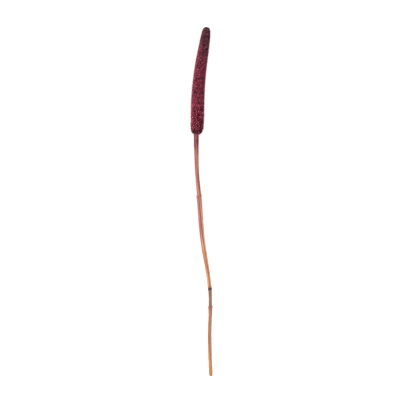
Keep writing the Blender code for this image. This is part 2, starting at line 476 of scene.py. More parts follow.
cut_along = np.concatenate([along, np.repeat(along[-1:], len(PITH_RINGS), axis=0)])
cut_radius = np.concatenate([radius, np.outer(PITH_RINGS, radius[-1])])
cut_angle = np.concatenate([angle, np.repeat(angle[-1:], len(PITH_RINGS), axis=0)])
sink = np.zeros_like(cut_along)
sink[-len(PITH_RINGS) + 1 :] = PITH_SINK
stalk = skin(
    "stalk",
    STALK_LINE,
    slanted(cut_along, cut_radius, cut_angle) - sink,
    cut_radius,
    cut_angle,
    poles=(STALK_RADII[0][0], CUT_AT - PITH_SINK),
)
print("stalk faces:", len(stalk.data.polygons))

# %% [markdown]
# ### Finish of the stalk
# Dry grass culm: a waxy skin over fibres, pinkish tan, with lengthwise streaks in brown. The head
# was dipped in dye, which ran a few centimetres down the stalk. It is streaky, paler along the
# middle than at the sides, with the left side darker still as painted shade, and has one dark
# bruise. The node is a dark band. The patterns are noise in the straightened coordinates, drawn out
# along the stem, because fibres are centimetres long and well under a millimetre wide. An image
# laid round the stalk could show them too, but it would have a seam and one fixed sharpness, and
# noise has neither.

# %% Patterns of dry grass, for stalk and leaf
FIBRE = 0.0005          # metres across a fine fibre
STREAK = 0.0020         # metres across a dark streak
PATCH = 0.0060          # metres across a patch that dried more ochre
FLECK = 0.0011          # metres between the small dark flecks, which are under a millimetre long
DRAWN_OUT = 30.0        # how many times longer than wide the fibres and streaks are
STREAK_TINTS = ((0.33, "6a4034"), (0.43, "b8907f"), (0.51, "efe0d8"), (0.68, "fff8f2"))


def fibres(tree, width, detail, drawn_out=DRAWN_OUT):
    """Noise stretched along the stem. Its cells are this wide."""
    spot = add_node(tree, "ShaderNodeAttribute", attribute_name="straight")
    feeds = {0: spot.outputs["Vector"], 1: (1.0, 1.0 / drawn_out, 1.0)}
    stretched = add_node(tree, "ShaderNodeVectorMath", feeds, operation="MULTIPLY")
    feeds = {"Vector": stretched, "Scale": 1.0 / width, "Detail": detail, "Roughness": 0.6}
    return add_node(tree, "ShaderNodeTexNoise", feeds)


def place_along(tree, start, end):
    """0 at one distance from the head's tip and 1 at the other."""
    spot = add_node(tree, "ShaderNodeAttribute", attribute_name="straight")
    parts = add_node(tree, "ShaderNodeSeparateXYZ", {0: spot.outputs["Vector"]})
    return add_node(tree, "ShaderNodeMapRange", {0: parts.outputs["Y"], 1: start, 2: end})


def dry_grass(tree, shader, dry):
    """Patches, streaks and flecks over a colour. It also sets roughness and relief."""
    feeds = {0: fibres(tree, PATCH, 1.0, 12.0), 1: 0.50, 2: 0.66, 3: 0.0, 4: 0.40}
    patch = add_node(tree, "ShaderNodeMapRange", feeds)
    streak = fibres(tree, STREAK, 3.0)
    streak_tint = add_node(tree, "ShaderNodeValToRGB", {"Fac": streak}, STREAK_TINTS)
    feeds = {0: fibres(tree, FLECK, 1.0, 2.5), 1: 0.71, 2: 0.76, 3: 0.0, 4: 0.7}
    fleck = add_node(tree, "ShaderNodeMapRange", feeds)
    for share, tint, blend in (
        (patch, colour("a67c44"), "MIX"),
        (0.80, streak_tint, "MULTIPLY"),
        (fleck, colour("3a1e1a"), "MIX"),
    ):
        feeds = {MIX_FACTOR: share, MIX_A: dry, MIX_B: tint}
        dry = add_node(tree, "ShaderNodeMix", feeds, data_type="RGBA", blend_type=blend)
    feeds = {0: streak, 1: 0.35, 2: 0.65, 3: 0.70, 4: 0.44}
    feed(shader, "Roughness", add_node(tree, "ShaderNodeMapRange", feeds))
    feeds = {"Height": fibres(tree, FIBRE, 2.0), "Strength": 0.6, "Distance": 0.0002}
    feed(shader, "Normal", add_node(tree, "ShaderNodeBump", feeds))
    return dry


print("fibre, streak and patch in mm:", [1000 * width for width in (FIBRE, STREAK, PATCH)])

# %% Dye on the neck
DYE_RUN = (0.256, 0.208)    # metres from the tip: where the dye ends and where it is full
DYE_STREAK = 0.0022         # metres across a streak of dye
PALE_SHIFT_FOR_LEFT_SHADE = 0.0003            # metres to the right of the neck's middle, where the dye is palest; the shift makes the left side darker as painted shade
PALE_HALF = 0.0038          # metres from there to where it is darkest
BRUISE_AT = (0.0010, 0.2290, 0.0047)    # a dark bruise on the neck, in straightened coordinates
BRUISE_SIZE = (0.0015, 0.0032, 0.0040)  # from its middle: across, along and into the stalk
# The dye from its darkest to its lightest
DYE_TINTS = (
    (0.20, "24080c"),
    (0.36, "4c0e1c"),
    (0.46, "64142a"),
    (0.53, "701f32"),
    (0.64, "943046"),
)


def dye_lightness(tree):
    """How light the dye is on the neck: streaky, palest just right of the middle with painted shade
    on the left, darkest in the bruise.
    """
    spot = add_node(tree, "ShaderNodeAttribute", attribute_name="straight")
    parts = add_node(tree, "ShaderNodeSeparateXYZ", {0: spot.outputs["Vector"]})
    # Painted shade: lightness falls off each way from a line right of the middle, so the left is
    # darker
    feeds = {0: parts.outputs["X"], 1: PALE_SHIFT_FOR_LEFT_SHADE}
    across = add_node(tree, "ShaderNodeMath", feeds, operation="SUBTRACT")
    aside = add_node(tree, "ShaderNodeMath", {0: across}, operation="ABSOLUTE")
    feeds = {0: aside, 1: 0.0, 2: PALE_HALF, 3: 0.12, 4: -0.15}
    pale_middle_shaded_left = add_node(tree, "ShaderNodeMapRange", feeds)
    feeds = {0: spot.outputs["Vector"], 1: BRUISE_AT}
    away = add_node(tree, "ShaderNodeVectorMath", feeds, operation="SUBTRACT")
    feeds = {0: away, 1: BRUISE_SIZE}
    sized = add_node(tree, "ShaderNodeVectorMath", feeds, operation="DIVIDE")
    far = add_node(tree, "ShaderNodeVectorMath", {0: sized}, operation="LENGTH")
    feeds = {0: fibres(tree, FIBRE, 2.0, 8.0), 1: 3.0, 2: far}
    frayed = add_node(tree, "ShaderNodeMath", feeds, operation="MULTIPLY_ADD")
    feeds = {0: frayed, 1: 1.5, 2: 3.1, 3: -0.42, 4: 0.0}
    bruise = add_node(tree, "ShaderNodeMapRange", feeds)
    lightness = fibres(tree, DYE_STREAK, 3.0, 14.0)
    for change in (pale_middle_shaded_left, bruise):
        lightness = add_node(tree, "ShaderNodeMath", {0: lightness, 1: change}, operation="ADD")
    return lightness


print("the dye ends", DYE_RUN[0], "m from the tip")

# %% Dry culm
BAND_REACH = 0.010      # metres, how far each way of the node the colours of its band are given
CULM_ZONES = (
    (0.00, "7a3a3c"),
    (0.08, "875852"),
    (0.15, "996257"),
    (0.19, "8f5a50"),
    (0.24, "985f54"),
    (0.45, "bc8e65"),
    (0.62, "b5815b"),
    (0.66, "774e35"),
    (0.71, "7c5a40"),
    (1.00, "9d7048"),
)
# White where the node's dark band covers the stalk
NODE_BAND = (
    (0.35, "000000"),
    (0.39, "ffffff"),
    (0.57, "ffffff"),
    (0.62, "606060"),
    (0.72, "000000"),
)


def culm_finish():
    """Waxy straw: a soft sheen on its ribs, and dull along its darker streaks."""
    material, tree, shader = new_material("dry_dyed_culm", 0.5, 0.25)
    along = place_along(tree, 0.20, 0.70)
    base = add_node(tree, "ShaderNodeValToRGB", {"Fac": along}, CULM_ZONES)
    culm = dry_grass(tree, shader, base)
    lightness = dye_lightness(tree)
    feeds = {0: lightness, 1: -2.4, 2: 0.85}
    reach = add_node(tree, "ShaderNodeMath", feeds, operation="MULTIPLY_ADD")
    feeds = {0: place_along(tree, *DYE_RUN), 1: 1.7, 2: reach}
    wet = add_node(tree, "ShaderNodeMath", feeds, operation="MULTIPLY_ADD")
    soaked = add_node(tree, "ShaderNodeMapRange", {0: wet, 1: 0.05, 2: 0.35})
    dye_tint = add_node(tree, "ShaderNodeValToRGB", {"Fac": lightness}, DYE_TINTS)
    near_node = place_along(tree, NODE_AT - BAND_REACH, NODE_AT + BAND_REACH)
    band = add_node(tree, "ShaderNodeValToRGB", {"Fac": near_node}, NODE_BAND)
    for share, tint in ((soaked, dye_tint), (band, colour("3e180c"))):
        feeds = {MIX_FACTOR: share, MIX_A: culm, MIX_B: tint}
        culm = add_node(tree, "ShaderNodeMix", feeds, data_type="RGBA")
    feed(shader, "Base Color", culm)
    return material


stalk.data.materials.append(culm_finish())
print("nodes of the culm:", len(stalk.data.materials[0].node_tree.nodes))

# %% Pith in the cut end
VESSEL_PITCH = 0.0006   # metres between the vessels in the pith
PITH_TINTS = ((0.12, "8a6244"), (0.28, "d9b88e"), (0.70, "efdcb8"))


def pith_finish():
    """Spongy pith: dull straw, with the darker ends of the vessels scattered through it."""
    material, tree, shader = new_material("dry_pith", 0.9)
    spot = add_node(tree, "ShaderNodeAttribute", attribute_name="straight")
    feeds = {"Vector": spot.outputs["Vector"], "Scale": 1.0 / VESSEL_PITCH}
    dots = add_node(tree, "ShaderNodeTexVoronoi", feeds)
    feed(shader, "Base Color", add_node(tree, "ShaderNodeValToRGB", {"Fac": dots}, PITH_TINTS))
    return material


stalk.data.materials.append(pith_finish())
# The cut's outer ring still belongs to the skin, and all inside it is pith
skin_faces = (len(along) - 1) * STALK_SIDES
slots = np.zeros(len(stalk.data.polygons), np.int32)
slots[skin_faces + STALK_SIDES : skin_faces + len(PITH_RINGS) * STALK_SIDES] = 1
slots[-STALK_SIDES:] = 1
stalk.data.polygons.foreach_set("material_index", slots)
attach(stalk, "root")
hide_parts("stem")
print("stalk materials:", [m.name for m in stalk.data.materials])

# %% [markdown]
# ## Leaf sheaths
# Each leaf of a grass starts as a sheath that wraps the stalk and overlaps itself along one margin.
# The blade was torn off at the collar, which leaves a ragged mouth with a short stub opposite the
# margin. The sheath is a spiral wall: it starts under its own edge, goes once round and ends on top
# of its start, so the margin shows as a real step with a dark line beside it. A rolled sheet with a
# solidify modifier could be used, but where it overlaps it would cut into itself. Here both faces
# of the wall are computed, so that the gap in the overlap is a value.

# %% Sizes of the sheaths
SHEATH_WALL = 0.00030
LAP_CLEARANCE = 0.00012
LAP_ANGLE = math.radians(50.0)
SHEATH_COLUMNS = 150
VEIN_PITCH = 0.0008
VEIN_HEIGHT = 0.00003
MARGIN_WAVE = math.radians(2.5)
MARGIN_CURL = 0.00016
LEAF_LUMP = 0.00005
# The collar is a low ring just below the mouth. The mouth flares, most where the stub stands.
COLLAR_AT, COLLAR_HALF = 0.0030, 0.0011
COLLAR_HEIGHT = 0.00022
FLARE_LENGTH, FLARE_RISE, STUB_RISE = 0.0050, 0.00015, 0.0008
TEAR_LENGTH, TEAR_DEPTH = 0.012, 0.0012
MARGIN_BROWN_AND_SHADE = (0.905, 0.965)  # shares of the way round, from clear to brown with a painted shadow line
MARGIN_DARK_FADES = (0.070, 0.110)   # metres below the mouth, where the brown and painted shadow fade
MOUTH_LENGTH = 0.006
MOUTH_ROWS = 20
SHEATH_STEP = 0.0020

UPPER_SHEATH = (
    (0.3370, 0.0054),
    (0.3440, 0.0051),
    (0.3600, 0.0050),
    (0.3940, 0.0049),
    (0.4380, 0.0046),
    (0.4740, 0.0042),
    (0.5060, 0.0039),
    (0.5150, 0.0039),
    (0.5185, 0.0041),
    (0.5205, 0.0040),
    (0.5216, 0.0037),
)
UPPER_MARGIN = (
    (0.3370, math.radians(-5.0)),
    (0.3660, math.radians(7.0)),
    (0.4060, math.radians(21.0)),
    (0.5216, math.radians(40.0)),
)
LOWER_SHEATH = (
    (0.5590, 0.0042),
    (0.5660, 0.0038),
    (0.6200, 0.0036),
    (0.6990, 0.0035),
)
LOWER_MARGIN = (
    (0.5590, math.radians(70.0)),
    (0.6990, math.radians(100.0)),
)
print("mouths of the sheaths, m from the tip:", UPPER_SHEATH[0][0], LOWER_SHEATH[0][0])

# %% Shape the sheaths
def make_sheath(name, radii, margin, stub_turn, stub_length, seed):
    """stub_turn is how far round from the margin the torn blade's stub stands."""
    first, last = radii[0][0], radii[-1][0]
    mouth = np.linspace(first, first + MOUTH_LENGTH, MOUTH_ROWS, endpoint=False)
    below = np.arange(first + MOUTH_LENGTH, last - 0.0005, SHEATH_STEP)
    stops = np.concatenate([mouth, below, [last]])
    run = np.linspace(0, 2 * math.pi + LAP_ANGLE, SHEATH_COLUMNS)
    nominal, turn = np.meshgrid(stops, run, indexing="ij")
    share = turn / run[-1]
    from_mouth = nominal - first
    (opening,) = smooth(margin, nominal)
    waves = MARGIN_WAVE * wander(nominal, (0.023, 0.061, 0.0087), seed)
    angle = opening - LAP_ANGLE + turn + waves * share**6

    (radius,) = smooth(radii, nominal)
    layer = ease(turn, LAP_ANGLE, 2 * math.pi) - 1.0
    radius = radius + layer * (SHEATH_WALL + LAP_CLEARANCE)
    veins = np.cos(angle * radii[-1][1] * 2 * math.pi / VEIN_PITCH)
    radius = radius + VEIN_HEIGHT * veins * ease(from_mouth, 0.0, MOUTH_LENGTH)
    radius = radius + LEAF_LUMP * wander(nominal + 0.002 * turn, (0.017, 0.029), seed + 1)
    curl = ease(share, 0.965, 1.0) * (0.5 + 0.5 * wander(nominal, (0.047, 0.019), seed + 2))
    radius = radius + MARGIN_CURL * curl

    around = np.arctan2(np.sin(turn - stub_turn), np.cos(turn - stub_turn))
    stub = np.exp(-((around / 0.55) ** 2))
    collar = np.exp(-(((from_mouth - COLLAR_AT) / COLLAR_HALF) ** 2))
    flare = np.clip(1 - from_mouth / FLARE_LENGTH, 0, 1) ** 2
    radius = radius + COLLAR_HEIGHT * collar + flare * (FLARE_RISE + STUB_RISE * stub)
    fine_tears = wander(turn, (0.9, 0.41, 0.23, 0.13), seed + 3)
    torn = 0.35 * fine_tears + 0.65 * wander(turn, (2.2, 1.3), seed + 4)
    pull = TEAR_DEPTH * torn - stub_length * stub
    nominal = nominal + pull * np.clip(1 - from_mouth / TEAR_LENGTH, 0, 1) ** 1.5

    thinning = ease(np.abs(share - 0.5), 0.44, 0.5)
    inner = radius - SHEATH_WALL * (1 - 0.6 * thinning)
    along = np.concatenate([nominal, nominal[:, ::-1]], axis=1)
    angle = np.concatenate([angle, angle[:, ::-1]], axis=1)
    radius = np.concatenate([radius, inner[:, ::-1]], axis=1)
    piece = skin(name, STALK_LINE, slanted(along, radius, angle), radius, angle, lids=True)
    # Brown of the dry margin, and a painted shadow line beside its step
    margin_brown_and_shade = ease(share, *MARGIN_BROWN_AND_SHADE) * (1 - 0.6 * ease(from_mouth, *MARGIN_DARK_FADES))
    for attribute, values in (("margin", margin_brown_and_shade), ("mouth", from_mouth), ("wrap", share)):
        store(piece.data, attribute, np.concatenate([values, values[:, ::-1]], axis=1).ravel())
    return piece


upper_sheath = make_sheath("upper_leaf_sheath", UPPER_SHEATH, UPPER_MARGIN, 3.6, 0.0022, 21)
lower_sheath = make_sheath("lower_leaf_sheath", LOWER_SHEATH, LOWER_MARGIN, 3.4, 0.0010, 41)
print("sheath faces:", len(upper_sheath.data.polygons), len(lower_sheath.data.polygons))

# %% [markdown]
# ### Finish of the sheaths
# Dry leaf: matt, papery and parallel veined. The upper one took some dye and is salmon, the lower
# one is tan to ochre. Both carry painted light, palest just past the margin and fading round the
# wrap. Both are browner along the open margin, with a painted shadow line there, and at the torn
# mouth. They use the stalk's streaks and flecks, because leaf and stalk dried as one plant, and the
# numbers stored with the skin say where margin and mouth are.

# %% Papery leaf
TORN_RIM = 0.005               # metres below the torn mouth that are browned
UPPER_ZONES = (
    (0.00, "ac656b"),
    (0.12, "a3625c"),
    (0.34, "a8695d"),
    (0.54, "b5816b"),
    (0.76, "a5704c"),
    (0.90, "b38460"),
    (0.98, "b27c5c"),
    (1.00, "7e4b38"),
)
LOWER_ZONES = (
    (0.00, "7d5e54"),
    (0.12, "946542"),
    (0.40, "99673e"),
    (0.70, "a5774e"),
    (1.00, "9c6e45"),
)


def leaf_finish(name, zones, radii):
    """Dry leaf is papery: nearly matt, with painted light palest just past the margin and fading
    round the wrap, and browner at its edges, with a painted shadow line along the margin.
    """
    material, tree, shader = new_material(name, 0.6, 0.3)
    along = place_along(tree, radii[0][0], radii[-1][0])
    base = add_node(tree, "ShaderNodeValToRGB", {"Fac": along}, zones)
    # Painted light: a paler tint from the margin round towards the right, gone by 0.70 of the wrap
    wrap = add_node(tree, "ShaderNodeAttribute", attribute_name="wrap")
    feeds = {0: wrap.outputs["Fac"], 1: 0.12, 2: 0.70, 3: 0.45, 4: 0.0}
    painted_light_share = add_node(tree, "ShaderNodeMapRange", feeds)
    feeds = {MIX_FACTOR: painted_light_share, MIX_A: base, MIX_B: colour("d6a888")}
    painted_light_leaf = add_node(tree, "ShaderNodeMix", feeds, data_type="RGBA")
    leaf = dry_grass(tree, shader, painted_light_leaf)
    margin = add_node(tree, "ShaderNodeAttribute", attribute_name="margin")
    mouth = add_node(tree, "ShaderNodeAttribute", attribute_name="mouth")
    feeds = {0: mouth.outputs["Fac"], 1: 0.0, 2: TORN_RIM, 3: 0.8, 4: 0.0}
    rim = add_node(tree, "ShaderNodeMapRange", feeds)
    # The margin colour is partly browned edge and partly painted shadow
    for share, code in ((margin.outputs["Fac"], "683830"), (rim, "8e463f")):
        feeds = {MIX_FACTOR: share, MIX_A: leaf, MIX_B: colour(code)}
        leaf = add_node(tree, "ShaderNodeMix", feeds, data_type="RGBA")
    feed(shader, "Base Color", leaf)
    return material


upper_sheath.data.materials.append(leaf_finish("papery_salmon_leaf", UPPER_ZONES, UPPER_SHEATH))
lower_sheath.data.materials.append(leaf_finish("papery_ochre_leaf", LOWER_ZONES, LOWER_SHEATH))
for sheath, node in ((upper_sheath, "upper_sheath"), (lower_sheath, "lower_sheath")):
    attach(sheath, "root")
    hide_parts(node)
light_only(STALK_FILL, [stalk, upper_sheath, lower_sheath], "INCLUDE")
print("sheaths done")

# %% [markdown]
# ## Core of the head
# Under the grain is the stiff core that the grain grows on, packed with dry husk. Only its surface
# shows, in the gaps between grains, and it is coloured dark all over as painted shade. It has the
# solid's outline, drawn in by the grain's height. Sculpted detail would be lost under the grain, so
# a plain skin with low lumps is enough.

# %% Outline of the head
HEAD_PROFILE = (
    (0.0000, 0.0000),
    (0.0008, 0.0036),
    (0.0042, 0.0064),
    (0.0170, 0.0090),
    (0.0420, 0.0107),
    (0.0680, 0.0117),
    (0.0940, 0.0123),
    (0.1320, 0.0130),
    (0.1720, 0.0134),
    (0.1880, 0.0131),
    (0.2020, 0.0126),
    (0.2100, 0.0106),
    (0.2140, 0.0072),
    (0.2146, 0.0052),
)
OUTLINE_STEP = 0.0008          # half the stretch over which the outline's direction is measured


def head_outline(samples):
    """Places, radii, and the outline's own direction, evenly along the outline from tip to base."""
    rows = np.asarray(HEAD_PROFILE)
    length = np.concatenate([[0], np.cumsum(np.linalg.norm(np.diff(rows, axis=0), axis=1))])
    table = np.column_stack([length, rows])
    stops = np.linspace(0, length[-1], samples)
    place, radius = smooth(table, stops)
    before = np.stack(smooth(table, stops - OUTLINE_STEP), axis=-1)
    after = np.stack(smooth(table, stops + OUTLINE_STEP), axis=-1)
    run = after - before
    run /= np.linalg.norm(run, axis=1, keepdims=True)
    return stops, place, radius, run


print("widest radius of the head, in m:", max(radius for _, radius in HEAD_PROFILE))

# %% Core under the grain
GRAIN_RISE = 0.00205           # how far the grain stands out of the core
SOCKET_AT = 0.2046             # the core closes here, round the stalk's hidden end
CORE_ROWS, CORE_SIDES = 160, 48
CORE_LUMP = 0.00025
CORE_LEAST = 0.0012            # the rows of the core end where its radius would be less
CORE_POINT = 0.0006            # and from there it closes to a point over this length


def make_core():
    """The head's outline, drawn in square to itself by the grain's height."""
    _, place, radius, run = head_outline(CORE_ROWS)
    place = place + GRAIN_RISE * run[:, 1]
    radius = radius - GRAIN_RISE * run[:, 0]
    keep = (radius > CORE_LEAST) & (place < HEAD_PROFILE[-1][0] - 0.0005)
    place, radius = place[keep], radius[keep]
    order = np.argsort(place)
    place, radius = place[order], radius[order]
    turn = np.arange(CORE_SIDES) * (2 * math.pi / CORE_SIDES)
    along, angle = np.meshgrid(place, turn, indexing="ij")
    radius = np.repeat(radius[:, None], CORE_SIDES, axis=1)
    radius = radius + CORE_LUMP * wander(along * 7 + angle * 0.01, (0.021, 0.017, 0.031), 61)
    poles = (place[0] - CORE_POINT, SOCKET_AT)
    return skin("head_core", HEAD_LINE, along, radius, angle, poles=poles)


core = make_core()
print("core faces:", len(core.data.polygons))

# %% [markdown]
# ## Where the grain grows
# Spikelets on a millet spike are packed evenly, like florets on a sunflower. Turning by the golden
# angle from one to the next gives that packing on any round form, so the stations are worked out
# with it and kept as a mesh of bare points. Each point carries the directions out of the surface
# and towards the tip, its size, how far it stands out, and its distance from the tip. The grain is
# coarser at the base.

# %% Stations for the spikelets
GRAIN_PITCH = 0.00293
GOLDEN_TURN = math.pi * (3 - math.sqrt(5))
SIZES = (
    # (distance from the tip, size, how much further the spikelets stand out than their size says)
    (0.0000, 0.82, 1.30),
    (0.0120, 0.86, 1.22),
    (0.0300, 0.90, 1.04),
    (0.0600, 0.94, 1.00),
    (0.1400, 1.04, 1.00),
    (0.1800, 1.24, 1.00),
    (0.2146, 1.34, 0.98),
)
RAGGED_TIP = 0.012             # over this length at the tip some spikelets stand out further
RAGGED_REACH = 0.55            # and so much further, as a share of their height
NUDGE = 0.10                   # how far a station is off its even place, as a share of the pitch
OUTLINE_SAMPLES = 8000
STATION_SEED = 71


def grain_stations():
    """Bare points on the core, each with the room that its spikelet's size needs."""
    stops, place, radius, run = head_outline(OUTLINE_SAMPLES)
    sizes, reaches = smooth(SIZES, place)
    bed_place = place + GRAIN_RISE * sizes * run[:, 1]
    bed_radius = np.maximum(radius - GRAIN_RISE * sizes * run[:, 0], 0)
    step = np.concatenate([[0], np.hypot(np.diff(bed_place), np.diff(bed_radius))])
    cell = math.sqrt(3) / 2 * (GRAIN_PITCH * sizes) ** 2
    planted = np.cumsum(2 * math.pi * (bed_radius + GRAIN_RISE / 2) * step / cell)
    count = int(planted[-1])
    dice = np.random.default_rng(STATION_SEED)
    along_nudge = dice.uniform(-1, 1, count) * NUDGE * GRAIN_PITCH
    at = np.searchsorted(planted, np.arange(count) + 0.5)
    at = np.searchsorted(stops, np.clip(stops[at] + along_nudge, 0, stops[-1]))
    round_nudge = dice.uniform(-1, 1, count) * NUDGE * GRAIN_PITCH / (bed_radius[at] + GRAIN_RISE)
    angle = np.arange(count) * GOLDEN_TURN + round_nudge
    uneven = RAGGED_REACH * dice.uniform(-0.6, 1, count) * ease(bed_place[at], RAGGED_TIP, 0.0)
    ahead, out = directions(HEAD_LINE, bed_place[at], angle)
    points = centre(HEAD_LINE, bed_place[at]) + bed_radius[at][:, None] * out
    outward = run[at, 0][:, None] * out + run[at, 1][:, None] * ahead
    tipward = run[at, 0][:, None] * ahead - run[at, 1][:, None] * out
    mesh = bpy.data.meshes.new("stations")
    mesh.from_pydata(points.tolist(), [], [])
    for name, values in (
        ("outward", outward),
        ("tipward", tipward),
        ("size", sizes[at]),
        ("reach", reaches[at] + uneven),
        ("along", bed_place[at]),
    ):
        store(mesh, name, values)
    return mesh


stations = grain_stations()
print("spikelets:", len(stations.vertices))

# %% [markdown]
# ## Forms of a spikelet
# A spikelet is a plump grain that stands out of papery scales, with a few stiff bristles round it.
# A handful of low forms, picked at random and turned a little, is enough for the eye. Each is built
# once, from a few dozen faces, because together they are planted nearly two thousand times.

# %% Spindles round a leaning axis
def spindle(verts, faces, rise, rings, sides, start=0.0):
    """Adds a closed form to the lists: a point at the bottom, rings, and a point on top. Each ring
    is (place on the axis, half width, half depth). rise turns a place into a point and two axes."""
    foot = len(verts)
    centre_point, _, _ = rise(rings[0][0])
    verts.append(centre_point)
    for place, width, depth in rings[1:-1]:
        middle, across, through = rise(place)
        for k in range(sides):
            turn = start + 2 * math.pi * k / sides
            x, y = width * math.cos(turn), depth * math.sin(turn)
            verts.append(middle + across * x + through * y)
    top, _, _ = rise(rings[-1][0])
    verts.append(top)
    bands = len(rings) - 2
    for k in range(sides):
        after = (k + 1) % sides
        faces.append((foot, foot + 1 + after, foot + 1 + k))
        for band in range(bands - 1):
            low = foot + 1 + band * sides
            faces.append((low + k, low + after, low + sides + after, low + sides + k))
        high = foot + 1 + (bands - 1) * sides
        faces.append((high + k, high + after, len(verts) - 1))


def straight_rise(x, y, lean_x, lean_y):
    """An axis from (x, y) that leans, with its two cross directions."""
    def rise(place):
        middle = np.array([x + lean_x * place, y + lean_y * place, place])
        return middle, np.array([1.0, 0.0, -lean_x]), np.array([0.0, 1.0, -lean_y])
    return rise


print("spindles ready")

# %% Sizes of the forms
GRAIN_FORMS = (
    # each grain of the form, in millimetres:
    # (x, y, lean towards the tip, sideways lean, half width, half depth, height)
    ((0.0, 0.0, 0.20, 0.00, 1.50, 1.40, 2.42),),
    ((0.0, 0.0, 0.28, 0.06, 1.40, 1.52, 2.35),),
    ((0.05, 0.74, 0.18, 0.10, 1.12, 1.04, 2.40), (-0.05, -0.76, 0.26, -0.12, 1.14, 1.06, 2.25)),
    ((0.0, 0.0, 0.15, -0.08, 1.46, 1.46, 2.25),),
    ((0.0, 0.10, 0.32, 0.00, 1.38, 1.34, 2.48),),
    ((0.10, 0.66, 0.30, 0.05, 1.08, 1.04, 2.20), (-0.10, -0.66, 0.16, -0.05, 1.18, 1.10, 2.42)),
    ((0.0, 0.0, 0.20, 0.10, 0.60, 0.50, 1.45),),
)
UNFILLED = len(GRAIN_FORMS) - 1
# Shares of a grain's height and of its half widths, from its belly to the point of its style
GRAIN_PROFILE = ((0.38, 0.95), (0.68, 0.93), (0.90, 0.58), (0.98, 0.18), (1.06, 0.0))
# Half width and half depth of the husk round one grain, round two, and round an unfilled one
HUSK_ROUND_ONE, HUSK_ROUND_TWO, HUSK_UNFILLED = (1.58, 1.54), (1.40, 1.84), (1.05, 0.90)
HUSK_SIDES = 10
# How high each side of the husk's rim stands, in millimetres: two broad scales and two low gaps
HUSK_RIM = (1.95, 1.70, 1.15, 0.95, 1.40, 1.85, 1.75, 1.20, 1.00, 1.50)
print("forms:", len(GRAIN_FORMS), "and the last is unfilled")

# %% Shape grain and husk
def grain_shape(number):
    """A pearl of grain: widest two thirds up, with the dry point of its style on top."""
    verts, faces = [], []
    for x, y, lean, side, width, depth, height in GRAIN_FORMS[number]:
        rings = [(-0.6, 0, 0), (-0.2, 0.62 * width, 0.62 * depth)]
        rings += [(up * height, share * width, share * depth) for up, share in GRAIN_PROFILE]
        sides = 8 if len(GRAIN_FORMS[number]) == 1 else 6
        spindle(verts, faces, straight_rise(x, y, lean, side), rings, sides, 0.4 * number)
    return verts, faces


def husk_shape(number):
    """A papery cup round the grain, thin walled, with a rim of pointed scales."""
    dice = np.random.default_rng(50 + number)
    grains = GRAIN_FORMS[number]
    lean = grains[0][2]
    wide, deep = HUSK_ROUND_TWO if len(grains) == 2 else HUSK_ROUND_ONE
    rim = np.roll(HUSK_RIM, number) * dice.uniform(0.85, 1.15, HUSK_SIDES)
    middle_share, rim_share = 1.00, 1.06
    if number == UNFILLED:
        wide, deep = HUSK_UNFILLED
        rim = rim * 0.35 + 1.85
        middle_share, rim_share = 1.10, 0.42
    rings = (
        (np.full(HUSK_SIDES, -0.5), 0.60),
        (np.full(HUSK_SIDES, 0.60), middle_share),
        (rim, rim_share),
        (rim - 0.12, rim_share - 0.08),
        (np.full(HUSK_SIDES, 0.50), middle_share - 0.12),
    )
    verts, faces = [], []
    for heights, share in rings:
        for k, height in enumerate(heights):
            turn = 2 * math.pi * k / HUSK_SIDES
            x = share * wide * math.cos(turn) + lean * height
            verts.append((x, share * deep * math.sin(turn), height))
    for band in range(len(rings) - 1):
        for k in range(HUSK_SIDES):
            low = band * HUSK_SIDES
            after = (k + 1) % HUSK_SIDES
            faces.append((low + k, low + after, low + HUSK_SIDES + after, low + HUSK_SIDES + k))
    verts += [(0.0, 0.0, -0.6), (0.0, 0.0, 0.35)]
    outer, inner = len(verts) - 2, len(verts) - 1
    last = (len(rings) - 1) * HUSK_SIDES
    for k in range(HUSK_SIDES):
        after = (k + 1) % HUSK_SIDES
        faces.append((outer, after, k))
        faces.append((last + k, last + after, inner))
    return verts, faces


print("faces of a grain and its husk:", len(grain_shape(0)[1]), len(husk_shape(0)[1]))

# %% Bristles, and the sets of forms
BRISTLES = 5
BRISTLE_FOOT = 1.35            # millimetres from the grain's axis
TALLEST = 2.4                  # millimetres, where a form's rise reaches 1
MM = 0.001


def bristle_shape(number):
    """Stiff hairs from the husk's foot."""
    verts, faces = [], []
    dice = np.random.default_rng(90 + number)
    for k in range(BRISTLES):
        turn = 2 * math.pi * (k + dice.uniform(-0.3, 0.3)) / BRISTLES
        length = dice.uniform(1.90, 2.40)
        lean = dice.uniform(-0.02, 0.20)
        x, y = math.cos(turn), math.sin(turn)
        rise = straight_rise(BRISTLE_FOOT * x, BRISTLE_FOOT * y, 0.22 + lean * x, lean * y)
        rings = ((-0.4, 0, 0), (0.1, 0.085, 0.085), (1.3, 0.06, 0.06), (length, 0, 0))
        spindle(verts, faces, rise, rings, 3)
    return verts, faces


def form_collection(name, shape):
    """One unlinked collection with a small object for each form."""
    forms = bpy.data.collections.new(name)
    for number in range(len(GRAIN_FORMS)):
        verts, faces = shape(number)
        points = np.array(verts) * MM
        mesh = bpy.data.meshes.new(f"{name}_{number}")
        mesh.from_pydata(points.tolist(), [], faces)
        mesh.shade_smooth()
        store(mesh, "rise", np.clip(points[:, 2] / (TALLEST * MM), 0, 1))
        forms.objects.link(bpy.data.objects.new(f"{name}_{number}", mesh))
    return forms


FORMS = {
    "grains": form_collection("grain_form", grain_shape),
    "husks": form_collection("husk_form", husk_shape),
    "bristles": form_collection("bristle_form", bristle_shape),
}

# %% [markdown]
# ## Planting the forms
# One Geometry Nodes tree plants any set of forms on the stations. Grain, husks and bristles use it
# with the same seed, so each station gets the three that belong together, turned alike. A loop that
# copies meshes could do this too, but it is slow with thousands of them, and the tree keeps lean,
# twist and spread as inputs that can be tried out. It ends by making the instances real, because
# what is exported is the mesh itself.

# %% How a spikelet is turned and sized
SIZE_SEED, FORM_SEED, TONE_SEED = 11, 23, 37


